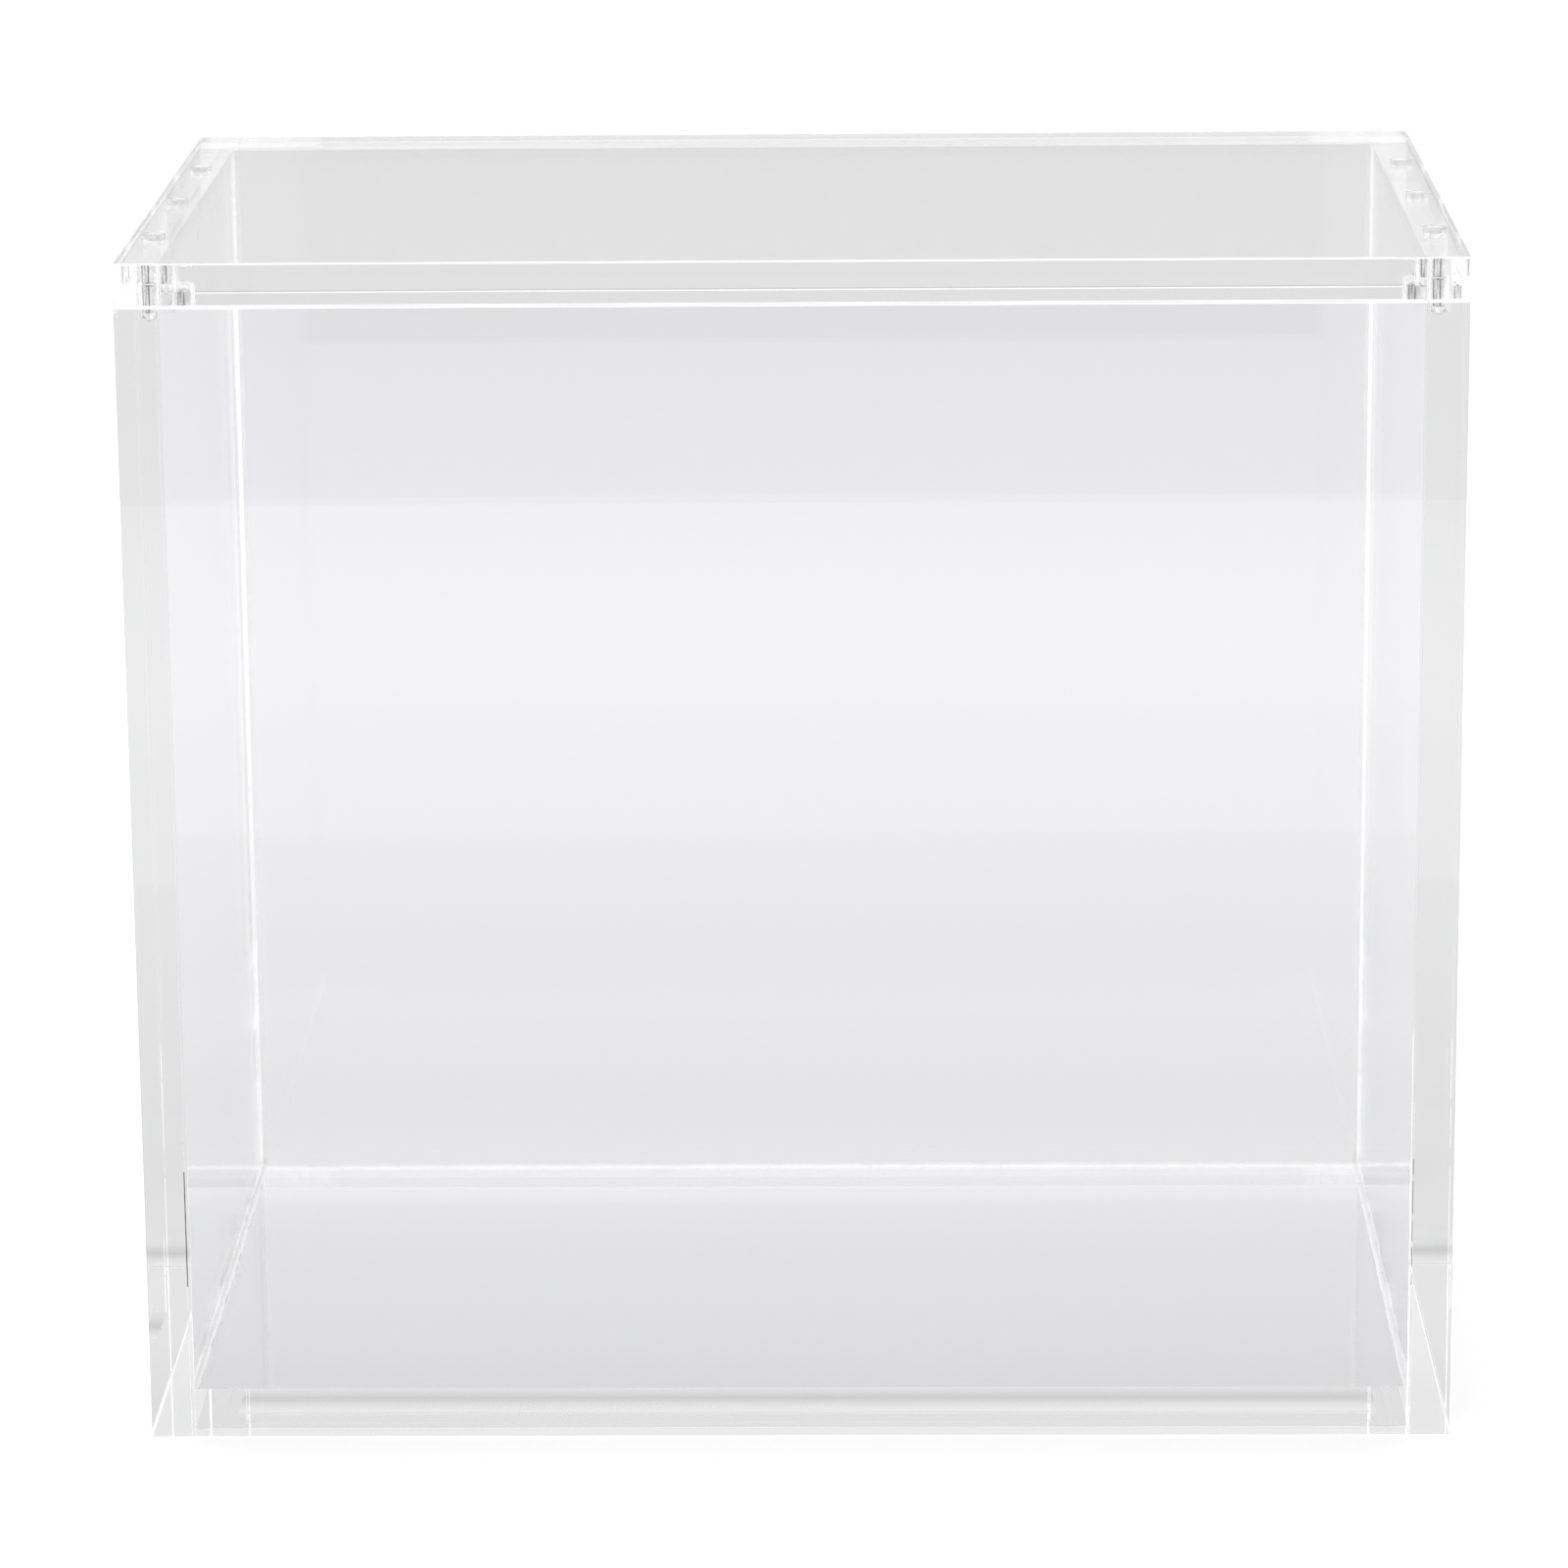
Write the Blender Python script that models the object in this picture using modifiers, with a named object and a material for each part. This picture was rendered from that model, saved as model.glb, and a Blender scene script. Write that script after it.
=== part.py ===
"""Clear acrylic display case with a lift-off lid.

Five polished sheets are cemented into an open box: two side walls that run the full depth, a front and a
back panel between them, and a base panel let in between all four. The lid is one flat sheet of the same
outline. Small magnets pair up along the two side walls, one in the lid and one in the wall below it, and
each sits in a blind hole that a drill left with a shallow point.

The origin is the middle of the underside, the front faces -Y and the width runs along X.
"""

import math

import bmesh
import bpy
from mathutils import Matrix

# Outer sizes, in metres
CASE_WIDTH = 0.155
CASE_DEPTH = 0.096
WALL_HEIGHT = 0.1365

# Sheet
WALL_THICKNESS = 0.005
BASE_THICKNESS = 0.005
LID_THICKNESS = 0.005
EDGE_BEVEL = 0.00025

# Joints between the sheets
CEMENT_GAP = 0.0003
LID_SEAT_GAP = 0.0003

# Magnets and their sockets
MAGNETS_PER_SIDE = 3
MAGNET_PITCH = 0.0255
MAGNET_DIAMETER = 0.0025
MAGNET_BEVEL = 0.0002
MAGNET_RECESS = 0.0001
SOCKET_CLEARANCE = 0.0002
SOCKET_POCKET = 0.0008
SOCKET_SKIN = 0.0006
DRILL_POINT_SHARE = 0.4
CUTTER_OVERRUN = 0.001

# Roundness
MAGNET_SIDES = 32
SOCKET_SIDES = 32
SHARP_ANGLE = math.radians(30.0)
MERGE_DISTANCE = 0.00001

# Clear space between the sheets
INNER_WIDTH = CASE_WIDTH - 2 * WALL_THICKNESS
INNER_DEPTH = CASE_DEPTH - 2 * WALL_THICKNESS
LID_UNDERSIDE = WALL_HEIGHT + LID_SEAT_GAP

# A socket is as deep as the lid allows above its skin, and the walls are drilled to the same depth
SOCKET_RADIUS = MAGNET_DIAMETER / 2 + SOCKET_CLEARANCE
SOCKET_DEPTH = LID_THICKNESS - SOCKET_SKIN
SOCKET_POINT = SOCKET_RADIUS * DRILL_POINT_SHARE
MAGNET_HEIGHT = SOCKET_DEPTH - SOCKET_POINT - SOCKET_POCKET - MAGNET_RECESS
MAGNET_ROW_X = CASE_WIDTH / 2 - WALL_THICKNESS / 2

SIDE_SIGNS = {"left": -1, "right": 1}


def clear_scene():
    for old in list(bpy.data.objects):
        bpy.data.objects.remove(old)


def new_collection(name, hide_render=False):
    collection = bpy.data.collections.new(name)
    collection.hide_render = hide_render
    bpy.context.scene.collection.children.link(collection)
    return collection


def new_empty(name, location, collection, parent=None):
    """A reference point that carries sub-parts."""
    empty = bpy.data.objects.new(name, None)
    empty.location = location
    empty.parent = parent
    collection.objects.link(empty)
    return empty


def new_object(name, bm, location, collection, parent=None):
    mesh = bpy.data.meshes.new(name)
    bm.to_mesh(mesh)
    bm.free()
    obj = bpy.data.objects.new(name, mesh)
    obj.location = location
    obj.parent = parent
    collection.objects.link(obj)
    return obj


def acrylic(name):
    """Clear cast sheet with polished faces."""
    material = bpy.data.materials.new(name + "_acrylic")
    material.use_nodes = True
    shader = material.node_tree.nodes["Principled BSDF"]
    shader.inputs["Base Color"].default_value = (0.96, 0.97, 0.98, 1.0)
    shader.inputs["Roughness"].default_value = 0.02
    shader.inputs["IOR"].default_value = 1.49
    shader.inputs["Transmission Weight"].default_value = 1.0
    return material


def nickel(name):
    """Bright nickel plating."""
    material = bpy.data.materials.new(name + "_nickel")
    material.use_nodes = True
    shader = material.node_tree.nodes["Principled BSDF"]
    shader.inputs["Base Color"].default_value = (0.72, 0.72, 0.74, 1.0)
    shader.inputs["Metallic"].default_value = 1.0
    shader.inputs["Roughness"].default_value = 0.22
    return material


def bevel(obj, width):
    modifier = obj.modifiers.new("polished_edges", "BEVEL")
    modifier.width = width
    modifier.segments = 1
    modifier.limit_method = "ANGLE"
    modifier.angle_limit = SHARP_ANGLE


def make_panel(name, size, centre, collection, parent):
    """A flat sheet of the given (x, y, z) size, with its sharp edges taken off."""
    bm = bmesh.new()
    bmesh.ops.create_cube(bm, size=1.0)
    bmesh.ops.scale(bm, vec=size, verts=bm.verts)
    panel = new_object(name, bm, centre, collection, parent)
    panel.data.materials.append(acrylic(name))
    bevel(panel, EDGE_BEVEL)
    return panel


def make_magnet(name, centre, collection, parent):
    """A plated round magnet with its axis upright."""
    bm = bmesh.new()
    radius = MAGNET_DIAMETER / 2
    bmesh.ops.create_cone(
        bm, cap_ends=True, segments=MAGNET_SIDES, radius1=radius, radius2=radius, depth=MAGNET_HEIGHT
    )
    magnet = new_object(name, bm, centre, collection, parent)
    magnet.data.materials.append(nickel(name))
    magnet.data.shade_smooth()
    magnet.data.set_sharp_from_angle(angle=SHARP_ANGLE)
    bevel(magnet, MAGNET_BEVEL)
    return magnet


def make_socket_cutter(name, mouth, drilled_up, collection, parent):
    """A drill's shape, turned from its profile: its mouth at the given point, its tip down or up."""
    profile = [
        (0, CUTTER_OVERRUN),
        (SOCKET_RADIUS, CUTTER_OVERRUN),
        (SOCKET_RADIUS, SOCKET_POINT - SOCKET_DEPTH),
        (0, -SOCKET_DEPTH),
    ]
    bm = bmesh.new()
    points = [bm.verts.new((x, 0, z)) for x, z in profile]
    for first, second in zip(points, points[1:]):
        bm.edges.new((first, second))
    cutter = new_object(name, bm, mouth, collection, parent)
    if drilled_up:
        cutter.data.transform(Matrix.Rotation(math.pi, 4, "Y"))
    turn = cutter.modifiers.new("turned", "SCREW")
    turn.axis = "Z"
    turn.angle = 2 * math.pi
    turn.steps = SOCKET_SIDES
    turn.render_steps = SOCKET_SIDES
    turn.use_merge_vertices = True
    turn.merge_threshold = MERGE_DISTANCE
    turn.use_normal_calculate = True
    cutter.hide_render = True
    cutter.display_type = "WIRE"
    return cutter


def drill(panel, cutter):
    cut = panel.modifiers.new(cutter.name, "BOOLEAN")
    cut.operation = "DIFFERENCE"
    cut.solver = "EXACT"
    cut.object = cutter


def magnet_places():
    """The magnets' places along one side wall, front to back, as (number, y)."""
    first = -MAGNET_PITCH * (MAGNETS_PER_SIDE - 1) / 2
    return [(index + 1, first + index * MAGNET_PITCH) for index in range(MAGNETS_PER_SIDE)]


def make_case(collection, origin):
    """The five cemented sheets. Returns the side walls by side."""
    walls = {}
    wall_size = (WALL_THICKNESS, CASE_DEPTH, WALL_HEIGHT)
    for side, sign in SIDE_SIGNS.items():
        centre = (sign * (CASE_WIDTH - WALL_THICKNESS) / 2, 0, WALL_HEIGHT / 2)
        walls[side] = make_panel(side + "_wall", wall_size, centre, collection, origin)

    panel_size = (INNER_WIDTH - 2 * CEMENT_GAP, WALL_THICKNESS, WALL_HEIGHT)
    for name, sign in (("front_panel", -1), ("back_panel", 1)):
        centre = (0, sign * (CASE_DEPTH - WALL_THICKNESS) / 2, WALL_HEIGHT / 2)
        make_panel(name, panel_size, centre, collection, origin)

    base_size = (INNER_WIDTH - 2 * CEMENT_GAP, INNER_DEPTH - 2 * CEMENT_GAP, BASE_THICKNESS)
    make_panel("base_panel", base_size, (0, 0, BASE_THICKNESS / 2), collection, origin)
    return walls


def make_lid(collection, lid_origin):
    """The lid, above a reference point in the middle of its underside."""
    lid_size = (CASE_WIDTH, CASE_DEPTH, LID_THICKNESS)
    return make_panel("lid", lid_size, (0, 0, LID_THICKNESS / 2), collection, lid_origin)


def fit_magnets(walls, lid, parts, cutters, origin, lid_origin):
    """Drills the sockets in pairs, face to face, and seats a magnet in each."""
    inset = MAGNET_RECESS + MAGNET_HEIGHT / 2
    for side, sign in SIDE_SIGNS.items():
        x = sign * MAGNET_ROW_X
        for number, y in magnet_places():
            label = side + "_" + str(number)
            mouth = (x, y, WALL_HEIGHT)
            cutter = make_socket_cutter("wall_socket_" + label, mouth, False, cutters, origin)
            drill(walls[side], cutter)
            make_magnet("wall_magnet_" + label, (x, y, WALL_HEIGHT - inset), parts, origin)
            mouth = (x, y, 0)
            cutter = make_socket_cutter("lid_socket_" + label, mouth, True, cutters, lid_origin)
            drill(lid, cutter)
            make_magnet("lid_magnet_" + label, (x, y, inset), parts, lid_origin)


def main():
    clear_scene()
    parts = new_collection("display_case")
    cutters = new_collection("cutters", hide_render=True)
    origin = new_empty("case_origin", (0, 0, 0), parts)
    lid_origin = new_empty("lid_origin", (0, 0, LID_UNDERSIDE), parts, origin)
    walls = make_case(parts, origin)
    lid = make_lid(parts, lid_origin)
    fit_magnets(walls, lid, parts, cutters, origin, lid_origin)
    clear_inside = (INNER_WIDTH, INNER_DEPTH, LID_UNDERSIDE - BASE_THICKNESS)
    print("clear inside (m):", [round(length, 4) for length in clear_inside])
    print("magnet height (m):", round(MAGNET_HEIGHT, 5))


main()
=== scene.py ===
"""Clear acrylic display case: the finish of every sheet and magnet, on a white studio table.

The sheets are drawn as closed polished slabs. Where two of them are cemented, their touching faces carry a
cement material that lets light straight through, so the five sheets of the box act as one clear block.
"""

import math

import bmesh
import bpy
from mathutils import Matrix, Quaternion, Vector


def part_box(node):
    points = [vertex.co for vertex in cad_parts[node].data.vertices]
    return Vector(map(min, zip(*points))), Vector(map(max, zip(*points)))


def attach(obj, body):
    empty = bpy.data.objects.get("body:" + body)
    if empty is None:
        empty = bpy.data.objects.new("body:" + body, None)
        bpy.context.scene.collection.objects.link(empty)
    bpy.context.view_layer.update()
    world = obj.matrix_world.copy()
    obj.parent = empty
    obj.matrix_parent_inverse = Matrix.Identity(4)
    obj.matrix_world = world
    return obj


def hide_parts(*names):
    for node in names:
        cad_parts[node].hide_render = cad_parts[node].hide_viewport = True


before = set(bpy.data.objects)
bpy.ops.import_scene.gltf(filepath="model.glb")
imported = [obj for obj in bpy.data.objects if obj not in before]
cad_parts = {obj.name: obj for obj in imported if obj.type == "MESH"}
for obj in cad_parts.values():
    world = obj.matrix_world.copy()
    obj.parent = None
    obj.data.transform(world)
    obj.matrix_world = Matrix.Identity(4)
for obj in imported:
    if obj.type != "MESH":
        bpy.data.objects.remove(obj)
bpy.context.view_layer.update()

# Finish sizes, in metres
ARRIS = 0.00018
SEAM_ARRIS = 0.00006
ARRIS_STEPS = 3
TOUCH = 0.00001
MERGE_DISTANCE = 0.000001
LID_HAIRLINE = 0.00005
FLOOR_GAP = 0.0002
SHARP_ANGLE = math.radians(30.0)

# The least share of a normal that counts as facing along a direction
FACING_SHARE = 0.5

# Magnets and their drilled sockets
SOCKET_RADIUS = 0.00142
SOCKET_DEPTH = 0.0044
SOCKET_SIDES = 64
DRILL_POINT_SHARE = 0.4
DRILL_OVERRUN = 0.0005
MAGNET_SIDES = 64
MAGNET_ARRIS = 0.00022
MAGNET_ARRIS_STEPS = 4

# Beads of squeezed-out cement. Two slow waves, each a depth and a rate, make their size wander.
BEAD = 0.0005
BEAD_STEP = 0.0015
BEAD_TURNS = 5
BEAD_CLEARANCE = 0.00001
BEAD_WAVE = (0.10, 410.0)
BEAD_RIPPLE = (0.07, 1130.0)
RIPPLE_PHASE = 2.3
BEAD_PHASE = (90.0, 50.0)
BEAD_REACH = BEAD * 1.2

# Open lengths of the front seams, left and right, drawn as dark strips of painted shade: the crack's width,
# then the heights it runs between
OPEN_SEAMS = {
    -1: (0.00012, ((0.0190, 0.0333),)),
    1: (0.00007, (
        (0.0190, 0.0204), (0.0211, 0.0236), (0.0243, 0.0268), (0.0277, 0.0318), (0.0325, 0.0345),
    )),
}
OPEN_SEAM_INSET = 0.2

# Marks in the plastic and the plating, and the painted reflection streaks on the plating: noise scale,
# detail, roughness and stretch
EVEN = (1.0, 1.0, 1.0)
WIPES = (26.0, 3.0, 0.6, (1.0, 1.0, 0.35))
WAVES = (14.0, 1.0, 0.4, EVEN)
CLOUDS = (260.0, 3.0, 0.6, EVEN)
DUST = (900.0, 3.0, 0.6, EVEN)
PAINTED_REFLECTION_STREAKS = (2200.0, 2.0, 0.6, (1.0, 1.0, 0.04))
SHEEN = (1500.0, 2.0, 0.5, EVEN)
DRILL_MARKS = (900.0, 2.0, 0.5, (1.0, 1.0, 0.05))
POLISH_MARKS = (60.0, 2.0, 0.5, EVEN)
MARK_DEPTH = 0.00002

# The acrylic: how it bends light, its tint, the depth of its slow waves, the roughness of its faint wipe
# marks, what lamps and bounced light keep on their way through, and the strength of the painted glow on its
# edges, arrises, sockets and feet, an emission that stands in for the light that the sheets pipe to them
CASE_IOR = 1.47
LID_IOR = 1.43
FACE_TINT = (0.962, 0.962, 0.970)
EDGE_TINT = (0.930, 0.930, 0.940)
FACE_WAVE = 0.00002
EDGE_WAVE = 0.00003
FACE_HAZE = 0.02
BASE_HAZE = 0.03
EDGE_HAZE = 0.04
FOOT_HAZE = 0.08
SHEET_CLEARNESS = 0.99
CUT_CLEARNESS = 0.95
BEAD_CLEARNESS = 0.9
WALL_EDGE_GLOW = 0.40
LID_EDGE_GLOW = 0.36
ARRIS_GLOW = 0.36
SOCKET_GLOW = 0.13
FOOT_GLOW = 0.08

# How the painted glow of piped light shows by the Layer Weight of the look: 0 is straight on and 1 is along
# the face
GLANCING_STOPS = ((0.65, 0.0), (0.8, 1.0))
STRAIGHT_STOPS = ((0.38, 1.0), (0.52, 0.0))

# The painted glow at the back corners: on the walls by the share of the reach and of the height, and on the
# beads by the share of the height, with more along the back of the floor
CORNER_REACH = 0.03
CORNER_HEIGHT = 0.14
CORNER_STRONGEST = {"left": 1.4, "right": 1.6}
CORNER_STOPS = (
    (0.0, 0.06), (0.3, 0.085), (0.6, 0.15), (0.64, 0.18), (0.8, 0.28), (0.816, 0.35), (0.908, 0.43),
    (0.92, 0.46), (1.0, 0.43),
)
CORNER_HEIGHT_STOPS = ((0.1, 0.3), (0.25, 0.48), (0.34, 0.55), (0.52, 0.64), (0.69, 0.69), (0.9, 0.9))
BEAD_GLOW_STOPS = ((0.041, 0.2), (0.05, 0.31), (0.43, 0.31), (0.56, 0.34), (0.9, 0.37))
BACK_BEAD_GLOW = 0.13

# The sheets' places, from the solids
WALL_LOW, WALL_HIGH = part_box("left_wall")
SHEET = WALL_HIGH.x - WALL_LOW.x
HALF_WIDTH = -WALL_LOW.x
HALF_DEPTH = -WALL_LOW.y
INNER_X = HALF_WIDTH - SHEET
INNER_Y = HALF_DEPTH - SHEET
LID_LOW, LID_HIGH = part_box("lid")
WALL_TOP = LID_LOW.z - LID_HAIRLINE
BASE_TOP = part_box("base_panel")[1].z

# Camera, from a fit to the photo's corners
CAMERA_PLACE = Vector((0.01253, -0.76059, 0.26377))
CAMERA_TURN = math.radians(-1.104)
CAMERA_DIP = math.radians(14.430)
CAMERA_ROLL = math.radians(-0.490)
FOCAL_PIXELS = 6473.8
PHOTO_PIXELS = 1601
SENSOR_WIDTH = 36.0
CAMERA_NEAR = 0.01
CAMERA_FAR = 50.0

# The studio's lamps and table paint: levels of 1 are white
WORLD_LIGHT = 0.72
SUN_STRENGTH = 1.0
SUN_SPREAD = math.radians(50.0)
SUN_AIM = (0.15, -0.2, -1.0)
TABLE_PAINT = 0.8
TABLE_GLOW = 0.3
TABLE_HALF = 20.0

# What the acrylic shows of the table: the level of white through it, the shade beside the case by the share
# of its reach, and the shade under the case from its front to its back
GLASS_LEVEL = 0.94
SHADE_REACH = 0.8
CLEAR_OF_SHADE = 0.012
SHADE_STOPS = (
    (0.0, 1.05), (0.0025, 1.05), (0.0038, 0.93), (0.0058, 0.90), (0.0068, 0.72), (0.0105, 0.72),
    (0.0125, 1.02), (0.0145, 0.97), (0.0165, 0.92), (0.031, 0.92), (0.056, 0.905), (0.109, 0.945),
    (0.165, 0.95), (0.2325, 0.97), (0.235, 1.0), (0.31, 1.0), (0.375, 1.02), (0.475, 1.01), (0.54, 1.0),
    (0.6, 0.975), (1.0, 0.965),
)
UNDER_STOPS = (
    (0.125, 0.82), (0.32, 0.856), (0.515, 0.88), (0.71, 0.905), (0.82, 0.945), (0.87, 1.05), (1.0, 1.08),
)

# What mirrors show of the table in front of the case: painted shade close to the case and painted light
# further out, as far as the table's front edge, and the dark gap past it. Far off, the table fades to white
# through the acrylic and to the horizon's tone in mirrors.
TABLE_FRONT = 0.54
TABLE_STOPS = (
    (0.0, 0.93), (0.01, 0.6), (0.10, 0.75), (0.25, 1.05), (0.37, 1.3), (0.49, 0.95), (0.502, 0.95),
)
GAP_LEVEL = 0.12
GAP_SLOPE = 3.0
FAR_START = 0.8
FAR_END = 2.4

# What mirrors show of the room, by direction: by height, towards the front, to the sides, and at the
# horizon, where the table ends
ROOM_STOPS = (
    (0.0, 0.74), (0.168, 0.75), (0.173, 0.83), (0.19, 0.79), (0.305, 0.775), (0.318, 0.84), (0.331, 0.84),
    (0.34, 0.78), (0.5, 0.82), (0.7, 0.78), (0.85, 0.8), (0.95, 1.2), (1.0, 1.6),
)
OPENING_STOPS = ((0.4, 1.0), (0.8, 1.3))
SIDE_STOPS = ((0.15, 1.0), (0.3, 1.6), (0.42, 1.5), (0.54, 0.8), (0.8, 0.8), (0.9, 2.4))
HORIZON = 0.55
HORIZON_STOPS = ((0.11, 1.0), (0.155, 0.0))


def node(tree, kind, **settings):
    """A new shader node with the given settings."""
    made = tree.nodes.new(kind)
    for key, value in settings.items():
        setattr(made, key, value)
    return made


def new_material(name):
    """A material whose node tree is still empty."""
    material = bpy.data.materials.new(name)
    material.use_nodes = True
    material.node_tree.nodes.clear()
    return material


def noise(tree, scale, detail, roughness, stretch):
    """A noise texture in the object's own metres, stretched along an axis by a small scale there."""
    place = node(tree, "ShaderNodeTexCoord")
    mapping = node(tree, "ShaderNodeMapping")
    mapping.inputs["Scale"].default_value = stretch
    tree.links.new(place.outputs["Object"], mapping.inputs["Vector"])
    texture = node(tree, "ShaderNodeTexNoise")
    texture.inputs["Scale"].default_value = scale
    texture.inputs["Detail"].default_value = detail
    texture.inputs["Roughness"].default_value = roughness
    tree.links.new(mapping.outputs["Vector"], texture.inputs["Vector"])
    return texture.outputs["Fac"]


def ramp(tree, source, stops):
    """A grey ramp with (place, value) stops."""
    made = node(tree, "ShaderNodeValToRGB")
    elements = made.color_ramp.elements
    while len(elements) < len(stops):
        elements.new(0.5)
    for element, (place, value) in zip(elements, stops):
        element.position = place
        element.color = (value, value, value, 1.0)
    tree.links.new(source, made.inputs["Fac"])
    return made.outputs["Color"]


def math_node(tree, operation, first, second=None):
    """A calculation with one or two values, each a number or a socket."""
    made = node(tree, "ShaderNodeMath", operation=operation)
    for socket, value in zip(made.inputs, (first, second)):
        if value is None:
            continue
        if isinstance(value, (int, float)):
            socket.default_value = value
        else:
            tree.links.new(value, socket)
    return made.outputs["Value"]


def blend(tree, factor, first, second):
    """The first value where the factor is 0 and the second where it is 1."""
    made = node(tree, "ShaderNodeMix", data_type="FLOAT")
    for key, value in (("Factor", factor), ("A", first), ("B", second)):
        if isinstance(value, (int, float)):
            made.inputs[key].default_value = value
        else:
            tree.links.new(value, made.inputs[key])
    return made.outputs["Result"]


def distance_past(tree, position, axis, scale, start):
    """How far a point's scaled place on an axis lies past a start."""
    split = node(tree, "ShaderNodeSeparateXYZ")
    tree.links.new(position, split.inputs["Vector"])
    along = math_node(tree, "MULTIPLY", split.outputs[axis], scale)
    return math_node(tree, "SUBTRACT", along, start)


def let_light_through(tree, shader, clearness, glow=None, mirrors=0, in_mirrors=False):
    """Lamps and bounced light pass the acrylic straight, less what it throws back for good. An edge can
    also carry a painted glow, an emission that stands in for the light that its sheet pipes to it. The
    painted glow shows after as many mirror images as the given number, and straight in a mirror only where
    in_mirrors is set."""
    path = node(tree, "ShaderNodeLightPath")
    straight = math_node(tree, "MAXIMUM", path.outputs["Is Shadow Ray"], path.outputs["Is Diffuse Ray"])
    fresnel = node(tree, "ShaderNodeFresnel")
    fresnel.inputs["IOR"].default_value = CASE_IOR
    kept = math_node(tree, "MULTIPLY", math_node(tree, "SUBTRACT", 1.0, fresnel.outputs["Fac"]), clearness)
    side = node(tree, "ShaderNodeNewGeometry").outputs["Backfacing"]
    kept = math_node(tree, "MAXIMUM", kept, side)
    clear = node(tree, "ShaderNodeBsdfTransparent")
    tree.links.new(kept, clear.inputs["Color"])
    mix = node(tree, "ShaderNodeMixShader")
    tree.links.new(straight, mix.inputs["Fac"])
    tree.links.new(shader.outputs["BSDF"], mix.inputs[1])
    tree.links.new(clear.outputs["BSDF"], mix.inputs[2])
    output = node(tree, "ShaderNodeOutputMaterial")
    if glow is None:
        tree.links.new(mix.outputs["Shader"], output.inputs["Surface"])
        return
    seen = math_node(tree, "MAXIMUM", path.outputs["Is Camera Ray"], path.outputs["Is Transmission Ray"])
    if in_mirrors:
        seen = math_node(tree, "MAXIMUM", seen, path.outputs["Is Glossy Ray"])
    near = math_node(tree, "LESS_THAN", path.outputs["Glossy Depth"], mirrors + 0.5)
    shown = math_node(tree, "MULTIPLY", math_node(tree, "MULTIPLY", seen, near), glow)
    # The painted glow: an emission that stands in for light piped along the sheet
    piped = node(tree, "ShaderNodeEmission")
    tree.links.new(shown, piped.inputs["Strength"])
    both = node(tree, "ShaderNodeAddShader")
    tree.links.new(mix.outputs["Shader"], both.inputs[0])
    tree.links.new(piped.outputs["Emission"], both.inputs[1])
    tree.links.new(both.outputs["Shader"], output.inputs["Surface"])


def painted_corner_glow(tree):
    """Painted glow on the inner face of a side wall near the back panel, at a glancing look: an emission
    that stands in for the light gathering where the wall meets the panel."""
    place = node(tree, "ShaderNodeTexCoord").outputs["Object"]
    back = distance_past(tree, place, "Y", 1.0, INNER_Y - CORNER_REACH)
    strength = ramp(tree, math_node(tree, "DIVIDE", back, CORNER_REACH), CORNER_STOPS)
    height = distance_past(tree, place, "Z", 1 / CORNER_HEIGHT, 0.0)
    strength = math_node(tree, "MULTIPLY", strength, ramp(tree, height, CORNER_HEIGHT_STOPS))
    right = distance_past(tree, place, "X", 1.0, 0.0)
    is_right = math_node(tree, "GREATER_THAN", right, 0.0)
    strongest = blend(tree, is_right, CORNER_STRONGEST["left"], CORNER_STRONGEST["right"])
    strength = math_node(tree, "MULTIPLY", strength, strongest)
    aside = math_node(tree, "ABSOLUTE", right)
    inner = math_node(tree, "LESS_THAN", aside, INNER_X + TOUCH)
    facing = node(tree, "ShaderNodeLayerWeight").outputs["Facing"]
    glancing = ramp(tree, facing, GLANCING_STOPS)
    return math_node(tree, "MULTIPLY", math_node(tree, "MULTIPLY", strength, inner), glancing)


def edge_glow(tree, strength):
    """Painted glow, an emission that stands in for the light that a sheet pipes to its edges. The top edges
    show it from all sides. The others show it only from inside: a back edge at a fairly straight look, and
    a side edge at a glancing one."""
    geometry = node(tree, "ShaderNodeNewGeometry")
    split = node(tree, "ShaderNodeSeparateXYZ")
    tree.links.new(geometry.outputs["True Normal"], split.inputs["Vector"])
    upright = math_node(tree, "ABSOLUTE", split.outputs["Z"])
    level = math_node(tree, "GREATER_THAN", upright, FACING_SHARE)
    aside = math_node(tree, "ABSOLUTE", split.outputs["X"])
    sideways = math_node(tree, "GREATER_THAN", aside, FACING_SHARE)
    facing = node(tree, "ShaderNodeLayerWeight").outputs["Facing"]
    look = blend(tree, sideways, ramp(tree, facing, STRAIGHT_STOPS), ramp(tree, facing, GLANCING_STOPS))
    inside = math_node(tree, "MULTIPLY", geometry.outputs["Backfacing"], look)
    return math_node(tree, "MULTIPLY", math_node(tree, "MAXIMUM", level, inside), strength)


def wall_edge_glow(tree):
    """The painted glow of the box's edges."""
    return edge_glow(tree, WALL_EDGE_GLOW)


def lid_edge_glow(tree):
    """The painted glow of the lid's edges."""
    return edge_glow(tree, LID_EDGE_GLOW)


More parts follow.
